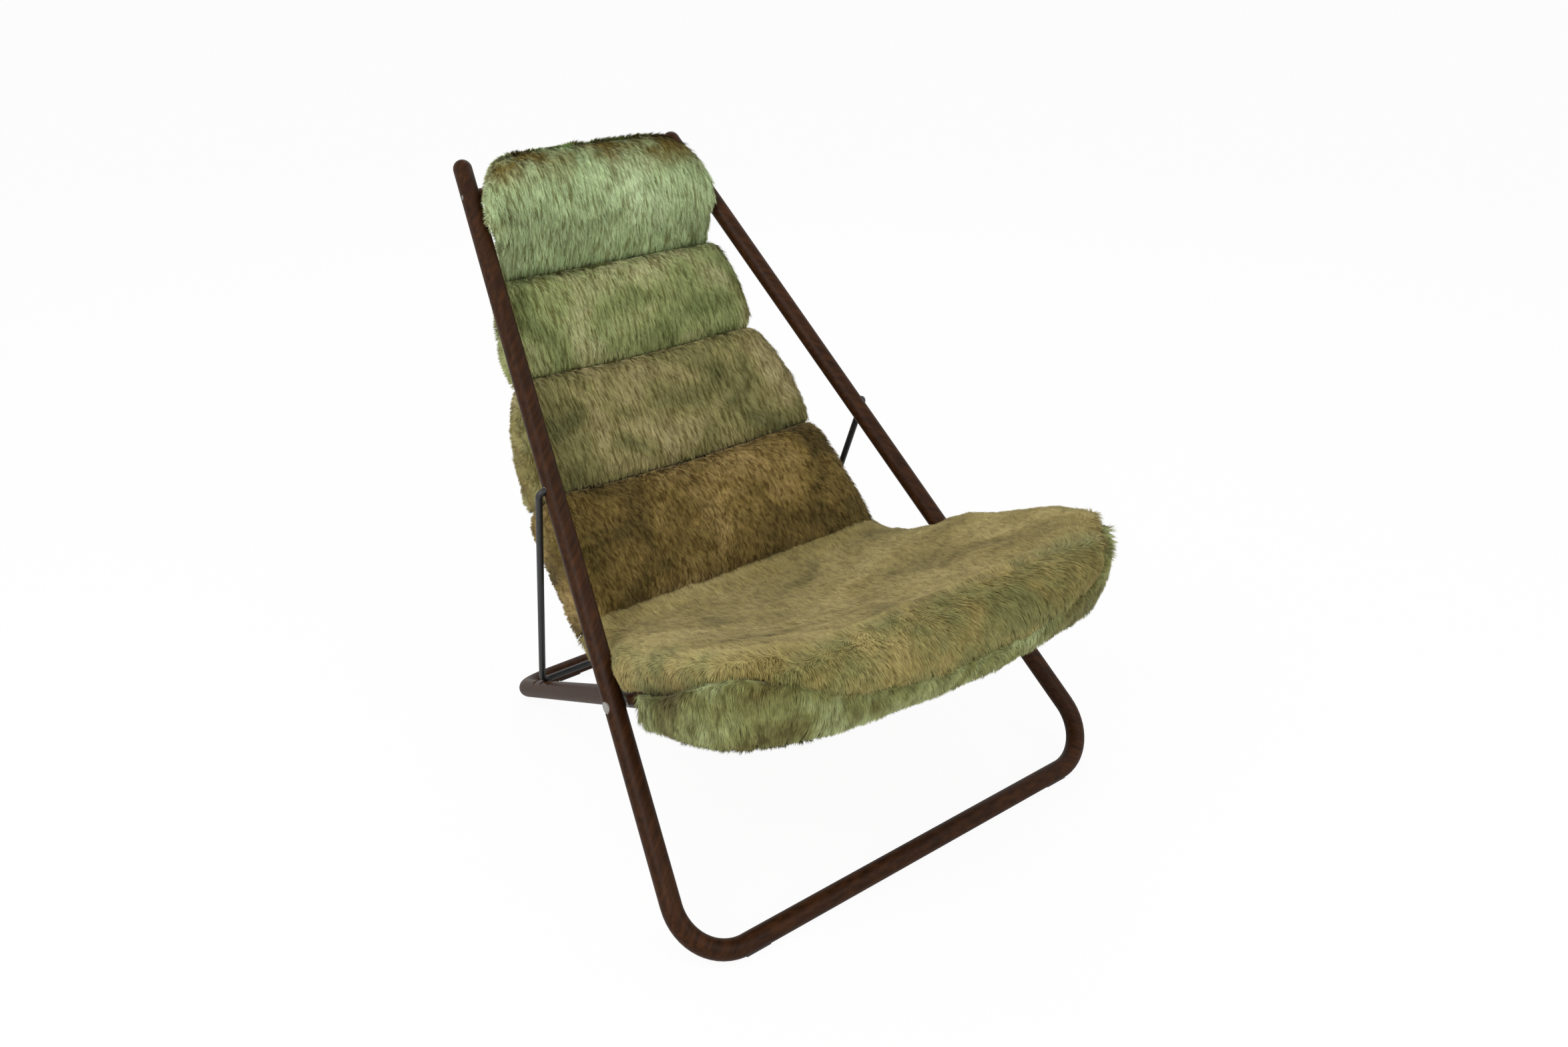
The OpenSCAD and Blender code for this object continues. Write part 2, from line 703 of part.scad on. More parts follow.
// Up to this angle from the side, the roll rises to the seat pad's wing, over this many degrees.
roll_wing_angle = 56;
roll_wing_turn = 18;
tunnel_angles = [235, 258, 281, 304, 327, 350];
tunnel_room_share = 1.09;
tunnel_radius = tube_radius * tunnel_room_share;
// Along the side rails: way from the pivot to the bow, reach outwards and drop.
roll_side_share = [[0.31, 0.34, 0.5], [0.52, 0.36, 0.62]];
// Round the corner: reach outwards and drop.
roll_corner_share = [[0.36, 0.70], [0.37, 0.77], [0.38, 0.84], [0.42, 0.90], [0.48, 0.95], [0.56, 1]];
// Along the front: way out from the middle, reach and drop.
roll_front_share = [[0.7, 0.66, 1], [0.35, 0.8, 1], [0, 0.86, 1], [-0.35, 0.8, 1], [-0.7, 0.66, 1]];
corner_steps = len(roll_corner_share) - 1;
function roll_sides() = [for (s = roll_side_share)
  [rear_half(-s[0] * bow_forward), -s[0] * bow_forward, 0, s[1], s[2]]];
function roll_corner() = [for (i = [0 : corner_steps])
  let (a = 90 * i / corner_steps)
  [bow_bar_half + bow_corner_radius * cos(a),
    bow_corner_radius * (1 - sin(a)) - bow_forward, a, roll_corner_share[i][0], roll_corner_share[i][1]]];
function roll_half() = concat(roll_sides(), roll_corner());
function roll_path() = concat(
  [for (p = roll_half()) p],
  [for (s = roll_front_share) [s[0] * bow_bar_half, -bow_forward, 90, s[1], s[2]]],
  [for (i = [len(roll_half()) - 1 : -1 : 0])
    let (p = roll_half()[i])
    [-p[0], p[1], 180 - p[2], p[3], p[4]]]);
function wing_share(a) = max(0, min(1, (roll_wing_angle - 90 + abs(a - 90)) / roll_wing_turn));
function roll_top(p, out) = front_seam_height
  + (out > 0 ? wing_share(p[2]) * (bow[1] + tube_radius - front_seam_height) : 0);
function roll_point(p, out, rise) =
  let (centre = on_rear(p[1], 0))
  let (y = centre[0] - out * sin(p[2]))
  [p[0] + out * cos(p[2]), y,
    min(centre[1] + rise, over_rear(y) - seam_gap, roll_top(p, out) - seam_gap)];
function roll_ring(p) = concat(
  [for (s = roll_section_share)
    roll_point(p, s[0] * roll_reach * (s[0] > 0 ? p[3] : 1), s[1] * roll_drop * (s[1] < 0 ? p[4] : 1))],
  [for (a = tunnel_angles) roll_point(p, tunnel_radius * cos(a), tunnel_radius * sin(a))],
  [roll_point(p, tunnel_radius, roll_section_share[0][1] * roll_drop)]);

module front_roll() {
  color(fur)
    skin([for (p = roll_path()) roll_ring(p)]);
}

front_frame();
top_crossbar();
crossbar_screws();
front_glide_left();
front_glide_right();
prop_bushes();
pivot_bolts();
pivot_nuts();
crossbar_sleeve();
back_canvas();
head_pillow();
back_panel_upper();
back_panel_middle();
back_panel_lower();
rear_frame();
seat_bow();
bow_dowels();
rear_glide_left();
rear_glide_right();
pivot_washers();
bow_sleeve();
front_roll();
prop_rod();
seat_canvas();
seat_panel();
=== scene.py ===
import bpy
import bmesh
import math
import numpy as np
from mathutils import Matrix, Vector, kdtree, noise


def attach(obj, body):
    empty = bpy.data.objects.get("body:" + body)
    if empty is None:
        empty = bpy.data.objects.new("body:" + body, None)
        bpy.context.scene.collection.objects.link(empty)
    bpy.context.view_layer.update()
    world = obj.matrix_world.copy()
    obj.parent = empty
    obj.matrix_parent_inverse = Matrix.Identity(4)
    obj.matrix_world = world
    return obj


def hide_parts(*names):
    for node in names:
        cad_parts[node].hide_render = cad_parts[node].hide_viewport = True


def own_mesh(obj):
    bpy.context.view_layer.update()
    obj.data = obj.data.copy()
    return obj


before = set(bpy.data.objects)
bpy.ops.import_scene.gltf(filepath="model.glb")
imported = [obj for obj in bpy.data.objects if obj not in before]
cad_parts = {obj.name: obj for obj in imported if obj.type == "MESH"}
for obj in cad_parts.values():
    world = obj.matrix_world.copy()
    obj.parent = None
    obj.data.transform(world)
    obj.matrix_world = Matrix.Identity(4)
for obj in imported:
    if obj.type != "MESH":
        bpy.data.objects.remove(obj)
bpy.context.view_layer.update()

# Camera, lamps and floor.
# The chair is seen from its front left corner, a little from above, on a plain white ground in soft
# studio light. The camera's place comes from the rails, the floor bar and the prop's pins.
camera = bpy.data.objects.new("camera", bpy.data.cameras.new("camera"))
bpy.context.scene.collection.objects.link(camera)
camera.data.sensor_width = 36
camera.data.lens = 36 * 2000 / 2349
camera.location = (-1.0410, -1.0291, 1.2383)
camera.rotation_mode = "XYZ"
camera.rotation_euler = (math.radians(63.526), 0, math.radians(-38.127))
bpy.context.view_layer.update()
camera.rotation_euler.rotate_axis("Z", math.radians(0.078))
bpy.context.scene.camera = camera
bpy.context.scene.view_settings.view_transform = "Standard"

world = bpy.data.worlds.new("white_studio")
bpy.context.scene.world = world
world.use_nodes = True
sky = world.node_tree.nodes
sky.clear()
sky_out = sky.new("ShaderNodeOutputWorld")
sky_seen = sky.new("ShaderNodeBackground")
sky_light = sky.new("ShaderNodeBackground")
sky_mix = sky.new("ShaderNodeMixShader")
sky_path = sky.new("ShaderNodeLightPath")
sky_any = sky.new("ShaderNodeMath")
sky_any.operation = "MAXIMUM"
sky_seen.inputs["Color"].default_value = (1, 1, 1, 1)
sky_seen.inputs["Strength"].default_value = 1.0
sky_light.inputs["Color"].default_value = (1, 1, 1, 1)
sky_light.inputs["Strength"].default_value = 0.78
world.node_tree.links.new(sky_path.outputs["Is Camera Ray"], sky_any.inputs[0])
world.node_tree.links.new(sky_path.outputs["Is Glossy Ray"], sky_any.inputs[1])
world.node_tree.links.new(sky_any.outputs[0], sky_mix.inputs[0])
world.node_tree.links.new(sky_light.outputs[0], sky_mix.inputs[1])
world.node_tree.links.new(sky_seen.outputs[0], sky_mix.inputs[2])
world.node_tree.links.new(sky_mix.outputs[0], sky_out.inputs["Surface"])

for lamp_name, lamp_place, lamp_size, lamp_power in (
        ("window_left", (-2.2, -0.4, 2.4), 1.8, 46),
        ("window_front", (0.6, -2.6, 2.2), 2.0, 24),
        ("lamp_back", (1.6, 2.0, 2.4), 1.6, 12)):
    lamp = bpy.data.objects.new(lamp_name, bpy.data.lights.new(lamp_name, "AREA"))
    bpy.context.scene.collection.objects.link(lamp)
    lamp.data.energy = lamp_power
    lamp.data.size = lamp_size
    lamp.location = lamp_place
    lamp.rotation_euler = (Vector((0, 0.3, 0.4)) - Vector(lamp_place)).to_track_quat("-Z", "Y").to_euler()

floor_mesh = bpy.data.meshes.new("floor")
floor_mesh.from_pydata([(-30, -30, 0), (30, -30, 0), (30, 30, 0), (-30, 30, 0)], [], [(0, 1, 2, 3)])
floor = bpy.data.objects.new("floor", floor_mesh)
bpy.context.scene.collection.objects.link(floor)
floor_paint = bpy.data.materials.new("white_floor")
floor_paint.use_nodes = True
floor_tree = floor_paint.node_tree
floor_tree.nodes.clear()
floor_out = floor_tree.nodes.new("ShaderNodeOutputMaterial")
floor_lit = floor_tree.nodes.new("ShaderNodeBsdfDiffuse")
floor_lit.inputs["Color"].default_value = (0.86, 0.86, 0.85, 1)
floor_glow = floor_tree.nodes.new("ShaderNodeEmission")
floor_glow.inputs["Color"].default_value = (1, 1, 1, 1)
floor_path = floor_tree.nodes.new("ShaderNodeLightPath")
floor_share = floor_tree.nodes.new("ShaderNodeMath")
floor_share.operation = "MULTIPLY"
floor_share.inputs[1].default_value = 0.93
floor_mix = floor_tree.nodes.new("ShaderNodeMixShader")
floor_tree.links.new(floor_path.outputs["Is Camera Ray"], floor_share.inputs[0])
floor_tree.links.new(floor_share.outputs[0], floor_mix.inputs[0])
floor_tree.links.new(floor_lit.outputs[0], floor_mix.inputs[1])
floor_tree.links.new(floor_glow.outputs[0], floor_mix.inputs[2])
floor_tree.links.new(floor_mix.outputs[0], floor_out.inputs["Surface"])
floor.data.materials.append(floor_paint)

# Front frame and rear frame.
# Each is one bent round wooden rod, stained dark brown and lacquered, with its grain along the rod. The
# photo doesn't tell the kind of wood. The prop's notches are cut across the rear rails.


def rod_line(corners, radius, steps=14):
    """The rod's centre line: straight runs with round bends, as closely spaced points."""
    line = [Vector(corners[0])]
    for before, corner, after in zip(corners[:-2], corners[1:-1], corners[2:]):
        before, corner, after = Vector(before), Vector(corner), Vector(after)
        back, ahead = (before - corner).normalized(), (after - corner).normalized()
        angle = back.angle(ahead)
        reach = radius / math.tan(angle / 2)
        middle = corner + (back + ahead).normalized() * radius / math.sin(angle / 2)
        first, last = corner + back * reach - middle, corner + ahead * reach - middle
        for step in range(steps + 1):
            line.append(middle + first.slerp(last, step / steps))
    line.append(Vector(corners[-1]))
    return line


def lay_grain(node, line):
    """Notes on each point of a wooden rod how far along and round the rod it lies, for the grain."""
    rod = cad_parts[node]
    places = np.zeros(len(rod.data.vertices) * 3)
    rod.data.vertices.foreach_get("co", places)
    places = places.reshape(-1, 3)
    points = np.array([tuple(p) for p in line])
    run = np.r_[0, np.cumsum(np.linalg.norm(np.diff(points, axis=0), axis=1))]
    closest = np.full(len(places), 1e9)
    along = np.zeros(len(places))
    off = np.zeros((len(places), 3))
    for i in range(len(points) - 1):
        edge = points[i + 1] - points[i]
        before_start, past_end = -0.2 * (i == 0), 0.2 * (i == len(points) - 2)
        share = np.clip((places - points[i]) @ edge / (edge @ edge), before_start, 1 + past_end)
        gap = places - points[i] - share[:, None] * edge
        far = np.linalg.norm(gap, axis=1)
        near = far < closest
        closest[near] = far[near]
        along[near] = run[i] + share[near] * np.linalg.norm(edge)
        off[near] = gap[near]
    normal = np.cross(points[1] - points[0], points[len(points) // 2] - points[0])
    normal /= np.linalg.norm(normal) + 1e-9
    height = off @ normal
    side = np.linalg.norm(off - height[:, None] * normal, axis=1)
    inward = np.einsum("ij,ij->i", off, points.mean(0) - places) > 0
    side[inward] *= -1
    grain = rod.data.attributes.new("grain", "FLOAT_VECTOR", "POINT")
    grain.data.foreach_set("vector", np.stack([side, height, along], 1).astype(np.float32).ravel())


def stained_wood(name, tone):
    """Dark brown stain under satin lacquer: long fine pores and wider bands that follow the rod."""
    wood = bpy.data.materials.new(name)
    wood.use_nodes = True
    tree = wood.node_tree
    shader = tree.nodes["Principled BSDF"]
    grain = tree.nodes.new("ShaderNodeAttribute")
    grain.attribute_name = "grain"
    long_way = tree.nodes.new("ShaderNodeMapping")
    long_way.inputs["Scale"].default_value = (1, 1, 0.035)
    bands = tree.nodes.new("ShaderNodeTexNoise")
    bands.inputs["Scale"].default_value = 190
    bands.inputs["Detail"].default_value = 6
    pores = tree.nodes.new("ShaderNodeTexNoise")
    pores.inputs["Scale"].default_value = 900
    pores.inputs["Detail"].default_value = 3
    patches = tree.nodes.new("ShaderNodeTexNoise")
    patches.inputs["Scale"].default_value = 9
    patches.inputs["Detail"].default_value = 2
    shades = tree.nodes.new("ShaderNodeValToRGB")
    shades.color_ramp.elements[0].position = 0.3
    shades.color_ramp.elements[0].color = (0.030 * tone, 0.012 * tone, 0.0045 * tone, 1)
    shades.color_ramp.elements[1].position = 0.72
    shades.color_ramp.elements[1].color = (0.088 * tone, 0.032 * tone, 0.010 * tone, 1)
    middle = shades.color_ramp.elements.new(0.5)
    middle.color = (0.052 * tone, 0.020 * tone, 0.007 * tone, 1)
    worn = tree.nodes.new("ShaderNodeMix")
    worn.data_type = "RGBA"
    worn.blend_type = "MULTIPLY"
    worn.inputs["Factor"].default_value = 0.55
    patch_shades = tree.nodes.new("ShaderNodeValToRGB")
    patch_shades.color_ramp.elements[0].color = (0.62, 0.60, 0.60, 1)
    patch_shades.color_ramp.elements[1].color = (1.25, 1.15, 1.0, 1)
    ripple = tree.nodes.new("ShaderNodeBump")
    ripple.inputs["Strength"].default_value = 0.18
    ripple.inputs["Distance"].default_value = 0.0006
    gloss = tree.nodes.new("ShaderNodeMapRange")
    gloss.inputs["To Min"].default_value = 0.34
    gloss.inputs["To Max"].default_value = 0.52
    link = tree.links.new
    link(grain.outputs["Vector"], long_way.inputs["Vector"])
    link(long_way.outputs[0], bands.inputs["Vector"])
    link(long_way.outputs[0], pores.inputs["Vector"])
    link(grain.outputs["Vector"], patches.inputs["Vector"])
    link(bands.outputs["Fac"], shades.inputs["Fac"])
    link(patches.outputs["Fac"], patch_shades.inputs["Fac"])
    link(shades.outputs["Color"], worn.inputs["A"])
    link(patch_shades.outputs["Color"], worn.inputs["B"])
    link(worn.outputs["Result"], shader.inputs["Base Color"])
    link(pores.outputs["Fac"], ripple.inputs["Height"])
    link(ripple.outputs["Normal"], shader.inputs["Normal"])
    link(bands.outputs["Fac"], gloss.inputs["Value"])
    link(gloss.outputs["Result"], shader.inputs["Roughness"])
    shader.inputs["Specular IOR Level"].default_value = 0.08
    shader.inputs["Coat Weight"].default_value = 0.02
    shader.inputs["Coat Roughness"].default_value = 0.35
    return wood


def finish_node(node, material):
    """Gives a CAD part its finish in place."""
    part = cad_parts[node]
    part.data.materials.clear()
    part.data.materials.append(material)


lean = math.radians(45.5)
slope = math.radians(28.035)
rail_middle = 0.0125
pivot_along = 0.344
front_half_width, front_taper, front_length, front_bend = 0.378, 0.1667, 1.178, 0.066
rear_half_width, rear_taper, rear_length, rear_bend = 0.2908, 0.099, 0.513, 0.060
bow_ahead, bow_bend = 0.325, 0.108
crossbar_along, crossbar_half = 1.116, 0.19


def on_front(along, behind=0.0):
    return (along * math.sin(lean) + behind * math.cos(lean),
            rail_middle + along * math.cos(lean) - behind * math.sin(lean))


pivot_y, pivot_z = on_front(pivot_along)


def front_rail(side, along):
    y, z = on_front(along)
    return (side * (front_half_width - front_taper * along), y, z)


def rear_rail(side, back):
    return (side * (rear_half_width - rear_taper * back),
            pivot_y + back * math.cos(slope), pivot_z - back * math.sin(slope))


dark_wood = stained_wood("walnut_lacquer", 0.6)
lay_grain("front_frame", rod_line(
    [front_rail(-1, front_length), front_rail(-1, 0), front_rail(1, 0), front_rail(1, front_length)],
    front_bend))
finish_node("front_frame", dark_wood)
lay_grain("rear_frame", rod_line(
    [rear_rail(-1, -0.1), rear_rail(-1, rear_length), rear_rail(1, rear_length), rear_rail(1, -0.1)],
    rear_bend))
finish_node("rear_frame", dark_wood)

# Top crossbar, seat bow and its dowels.
# The crossbar is a straight turned rod between the rails' heads, the bow is bent like the frames, and
# two dowels glue its ends into the rear rails. Same wood and stain.
bar_y, bar_z = on_front(crossbar_along)
lay_grain("top_crossbar", [Vector((-crossbar_half, bar_y, bar_z)), Vector((0, bar_y, bar_z + 0.0001)),
                           Vector((crossbar_half, bar_y, bar_z))])
finish_node("top_crossbar", dark_wood)
lay_grain("seat_bow", rod_line(
    [rear_rail(-1, -0.05), rear_rail(-1, -bow_ahead), rear_rail(1, -bow_ahead), rear_rail(1, -0.05)],
    bow_bend))
finish_node("seat_bow", dark_wood)
lay_grain("bow_dowels", [Vector(rear_rail(-1, -reach)) for reach in (0.02, 0.06, 0.10)])
finish_node("bow_dowels", dark_wood)

# Prop rod and the metal fittings.
# The prop is round steel, bent to a U and painted black; here its paint has an even fine grit, without the
# wear where it sits in the notches.
# Bolts, nuts, washers, screws and bushes are plain dulled steel.


def black_paint(name, colour, rough, speck):
    paint = bpy.data.materials.new(name)
    paint.use_nodes = True
    tree = paint.node_tree
    shader = tree.nodes["Principled BSDF"]
    place = tree.nodes.new("ShaderNodeTexCoord")
    grit = tree.nodes.new("ShaderNodeTexNoise")
    grit.inputs["Scale"].default_value = speck
    grit.inputs["Detail"].default_value = 4
    shades = tree.nodes.new("ShaderNodeValToRGB")
    shades.color_ramp.elements[0].position = 0.35
    shades.color_ramp.elements[0].color = (*[c * 0.7 for c in colour], 1)
    shades.color_ramp.elements[1].position = 0.75
    shades.color_ramp.elements[1].color = (*[c * 1.6 for c in colour], 1)
    rub = tree.nodes.new("ShaderNodeMapRange")
    rub.inputs["To Min"].default_value = rough - 0.08
    rub.inputs["To Max"].default_value = rough + 0.12
    ripple = tree.nodes.new("ShaderNodeBump")
    ripple.inputs["Strength"].default_value = 0.15
    ripple.inputs["Distance"].default_value = 0.0003
    tree.links.new(place.outputs["Object"], grit.inputs["Vector"])
    tree.links.new(grit.outputs["Fac"], shades.inputs["Fac"])
    tree.links.new(shades.outputs["Color"], shader.inputs["Base Color"])
    tree.links.new(grit.outputs["Fac"], rub.inputs["Value"])
    tree.links.new(rub.outputs["Result"], shader.inputs["Roughness"])
    tree.links.new(grit.outputs["Fac"], ripple.inputs["Height"])
    tree.links.new(ripple.outputs["Normal"], shader.inputs["Normal"])
    return paint


finish_node("prop_rod", black_paint("black_steel_paint", (0.008, 0.008, 0.009), 0.45, 260))
dull_steel = black_paint("dull_steel", (0.30, 0.29, 0.27), 0.45, 420)
dull_steel.node_tree.nodes["Principled BSDF"].inputs["Metallic"].default_value = 0.9
for fitting in ("crossbar_screws", "pivot_bolts", "pivot_nuts", "pivot_washers", "prop_bushes"):
    finish_node(fitting, dull_steel)

# Floor pads.
# Small black plastic pads let into the undersides of the two floor bars.
pad_plastic = black_paint("black_pad_plastic", (0.02, 0.02, 0.02), 0.6, 700)
for floor_pad in ("front_glide_left", "front_glide_right", "rear_glide_left", "rear_glide_right"):
    finish_node(floor_pad, pad_plastic)

# Sling canvas and its two sleeves.
# Strong plain-woven cotton behind the fur, sewn into sleeves round the crossbar and the bow. It is
# stretched between them, with shallow pulls along its length. The table below gives each piece one
# nominal width and cloth_copy measures its area, so area over width is exact in area, not in outline.
weld = 0.00002


def woven_canvas(name, colour):
    cloth = bpy.data.materials.new(name)
    cloth.use_nodes = True
    tree = cloth.node_tree
    shader = tree.nodes["Principled BSDF"]
    place = tree.nodes.new("ShaderNodeTexCoord")
    warp = tree.nodes.new("ShaderNodeTexWave")
    warp.bands_direction = "X"
    warp.inputs["Scale"].default_value = 210
    warp.inputs["Distortion"].default_value = 0.5
    weft = tree.nodes.new("ShaderNodeTexWave")
    weft.bands_direction = "Z"
    weft.inputs["Scale"].default_value = 210
    weft.inputs["Distortion"].default_value = 0.5
    weave = tree.nodes.new("ShaderNodeMath")
    weave.operation = "MULTIPLY"
    stain = tree.nodes.new("ShaderNodeTexNoise")
    stain.inputs["Scale"].default_value = 7
    stain.inputs["Detail"].default_value = 5
    shades = tree.nodes.new("ShaderNodeValToRGB")
    shades.color_ramp.elements[0].position = 0.3
    shades.color_ramp.elements[0].color = (*[c * 0.72 for c in colour], 1)
    shades.color_ramp.elements[1].position = 0.7
    shades.color_ramp.elements[1].color = (*[c * 1.12 for c in colour], 1)
    threads = tree.nodes.new("ShaderNodeMix")
    threads.data_type = "RGBA"
    threads.blend_type = "MULTIPLY"
    threads.inputs["Factor"].default_value = 0.35
    ripple = tree.nodes.new("ShaderNodeBump")
    ripple.inputs["Strength"].default_value = 0.5
    ripple.inputs["Distance"].default_value = 0.0006
    link = tree.links.new
    link(place.outputs["Object"], warp.inputs["Vector"])
    link(place.outputs["Object"], weft.inputs["Vector"])
    link(place.outputs["Object"], stain.inputs["Vector"])
    link(warp.outputs["Fac"], weave.inputs[0])
    link(weft.outputs["Fac"], weave.inputs[1])
    link(stain.outputs["Fac"], shades.inputs["Fac"])
    link(shades.outputs["Color"], threads.inputs["A"])
    link(weave.outputs[0], threads.inputs["B"])
    link(threads.outputs["Result"], shader.inputs["Base Color"])
    link(weave.outputs[0], ripple.inputs["Height"])
    link(ripple.outputs["Normal"], shader.inputs["Normal"])
    shader.inputs["Roughness"].default_value = 0.9
    shader.inputs["Sheen Weight"].default_value = 0.15
    shader.inputs["Specular IOR Level"].default_value = 0.2
    return cloth


canvas_cloth = woven_canvas("sling_canvas", (0.30, 0.27, 0.18))


def cloth_copy(node, name, cell, crease):
    """A finer copy of a canvas part, with the shallow pulls of cloth under tension."""
    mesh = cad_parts[node].data.copy()
    piece = bpy.data.objects.new(name, mesh)
    bpy.context.scene.collection.objects.link(piece)
    work = bmesh.new()
    work.from_mesh(mesh)
    bmesh.ops.remove_doubles(work, verts=work.verts, dist=weld)
    for turn in range(5):
        long_edges = [e for e in work.edges if e.calc_length() > cell]
        if not long_edges:
            break
        bmesh.ops.subdivide_edges(work, edges=long_edges, cuts=1, use_grid_fill=True)
    bmesh.ops.triangulate(work, faces=work.faces)
    for v in work.verts:
        pull = noise.noise(Vector((v.co.x * 26, v.co.y * 5, v.co.z * 5)))
        v.co += Vector((0, 0.7, -0.7)) * pull * crease
    work.to_mesh(mesh)
    work.free()
    for face in mesh.polygons:
        face.use_smooth = True
    mesh.materials.clear()
    mesh.materials.append(canvas_cloth)
    area = sum(face.area for face in mesh.polygons) / 2
    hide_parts(node)
    return piece, area


for node, name, body, width, cell, crease in (
        ("back_canvas", "canvas_back", "front", 0.4845, 0.03, 0.0006),
        ("seat_canvas", "canvas_seat", "seat", 0.4845, 0.03, 0.0006),
        ("crossbar_sleeve", "canvas_sleeve_top", "front", 0.11, 0.02, 0.0),
        ("bow_sleeve", "canvas_sleeve_bow", "rear", 0.11, 0.02, 0.0)):
    canvas_piece, canvas_area = cloth_copy(node, name, cell, crease)
    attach(canvas_piece, body)

# Fur pads: head pillow, three back panels, seat panel and front roll.
# Short dense fur on quilted pads. Each pad is a stuffed form that cloth simulation swells a little, and
# its pile is laid as real locks that run down the back, forward on the seat and down the front roll.
fur_numbers = np.random.default_rng(7)
bald_sink = 0.0025
lock_limit = 190000
locks_to_a_leader = 14
lock_length, lock_lift = 0.013, 0.0032
corner_x, corner_y = 0.207, 0.0665


def swell(pad, most, inside):
    """Blows the pad up a little, as stuffing does, and keeps each point within a set distance."""
    start = np.zeros(len(pad.data.vertices) * 3)
    pad.data.vertices.foreach_get("co", start)
    start = start.reshape(-1, 3)
    cloth = pad.modifiers.new("stuffing", "CLOTH")
    cloth.settings.use_pressure = True
    cloth.settings.uniform_pressure_force = 4
    cloth.settings.effector_weights.gravity = 0
    cloth.settings.quality = 3
    cloth.collision_settings.use_collision = False
    for step in range(1, 9):
        bpy.context.scene.frame_set(step)
    swollen = pad.evaluated_get(bpy.context.evaluated_depsgraph_get()).data
    end = np.zeros(len(start) * 3)
    swollen.vertices.foreach_get("co", end)
    end = end.reshape(-1, 3)
    pad.modifiers.remove(cloth)
    bpy.context.scene.frame_set(1)
    move = end - start
    move -= move.mean(0)
    far = np.linalg.norm(move, axis=1)
    move *= (np.minimum(far, most) / np.maximum(far, 1e-9))[:, None] * inside
    pad.data.vertices.foreach_set("co", (start + move).ravel())
    pad.data.update()


def seam_settles(places):
    """The front seam of seat and roll dips in the middle and climbs over the bow at the corners."""
    x, y, z = abs(places[:, 0]), places[:, 1], places[:, 2]
    side, ahead = np.maximum(x - corner_x, 0), np.maximum(corner_y - y, 0)
    out = np.where(y > corner_y, x - 0.315, np.hypot(side, ahead) - bow_bend)
    angle = np.degrees(np.arctan2(ahead, side + 1e-6))
    near_seam = np.exp(-((z - 0.400) / 0.032) ** 2) * np.clip(out / 0.012, 0, 1) * (y < 0.0)
    dip = -0.020 * np.clip(1 - (x / 0.24) ** 2, 0, 1) * near_seam
    climb = 0.018 * np.clip((96 - angle) / 30, 0, 1) * np.clip((z - 0.345) / 0.05, 0, 1)
    return dip, climb * np.clip((out - 0.002) / 0.012, 0, 1)


def roll_settles(places):
    dip, climb = seam_settles(places)
    places[:, 2] += dip + climb
    back = np.maximum(places[:, 1] - 0.07, 0) * 0.25
    places[:, 1] += back
    places[:, 2] -= back * math.tan(slope)
    return places


def seat_settles(places):
    dip, climb = seam_settles(places)
    x, y = abs(places[:, 0]), places[:, 1]
    rail_top = pivot_z - (y - pivot_y) * math.tan(slope) + 0.0165 / math.cos(slope)
    low = np.clip(1 - (places[:, 2] - rail_top) / 0.03, 0, 1) * (places[:, 2] > rail_top - 0.012)
    places[:, 2] += dip - 0.009 * low * np.clip((x - 0.25) / 0.04, 0, 1) * (y < 0.17)
    return places


def pillow_settles(places):
    """The head pillow's upper corners are rounded."""
    along = places[:, 1] * math.sin(lean) + places[:, 2] * math.cos(lean)
    top = np.clip((along - 1.035) / 0.12, 0, 1)
    places[:, 0] *= 1 - 0.17 * top ** 2.5
    return places


def stays(places):
    return places


def stuffed_pad(node, name, cell, rounds, rough, settle, bare):
    """The pad's skin: its stuffed form with a soft, slightly uneven surface under the pile."""
    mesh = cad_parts[node].data.copy()
    pad = bpy.data.objects.new(name, mesh)
    bpy.context.scene.collection.objects.link(pad)
    work = bmesh.new()
    work.from_mesh(mesh)
    bmesh.ops.remove_doubles(work, verts=work.verts, dist=weld)
    work.to_mesh(mesh)
    work.free()
    bpy.context.view_layer.objects.active = pad
    for other in bpy.context.selected_objects:
        other.select_set(False)
    pad.select_set(True)
    remesh = pad.modifiers.new("even", "REMESH")
    remesh.mode = "VOXEL"
    remesh.voxel_size = cell
    soften = pad.modifiers.new("soften", "SMOOTH")
    soften.factor = 0.5
    soften.iterations = rounds
    bpy.ops.object.modifier_apply(modifier="even")
    bpy.ops.object.modifier_apply(modifier="soften")
    swell(pad, 0.004, 0.8)
    normals = np.zeros(len(pad.data.vertices) * 3)
    pad.data.vertices.foreach_get("normal", normals)
    normals = normals.reshape(-1, 3)
    places = np.zeros(len(pad.data.vertices) * 3)
    pad.data.vertices.foreach_get("co", places)
    places = settle(places.reshape(-1, 3))
    lumps = np.array([noise.noise(Vector(p) * 30) * 0.6 + noise.noise(Vector(p) * 75) * 0.4 for p in places])
    places += normals * (lumps * rough - rough * 0.6 - bald_sink * bare(places, normals))[:, None]
    pad.data.vertices.foreach_set("co", places.ravel())
    for face in pad.data.polygons:
        face.use_smooth = True
    pad.data.update()
    return pad


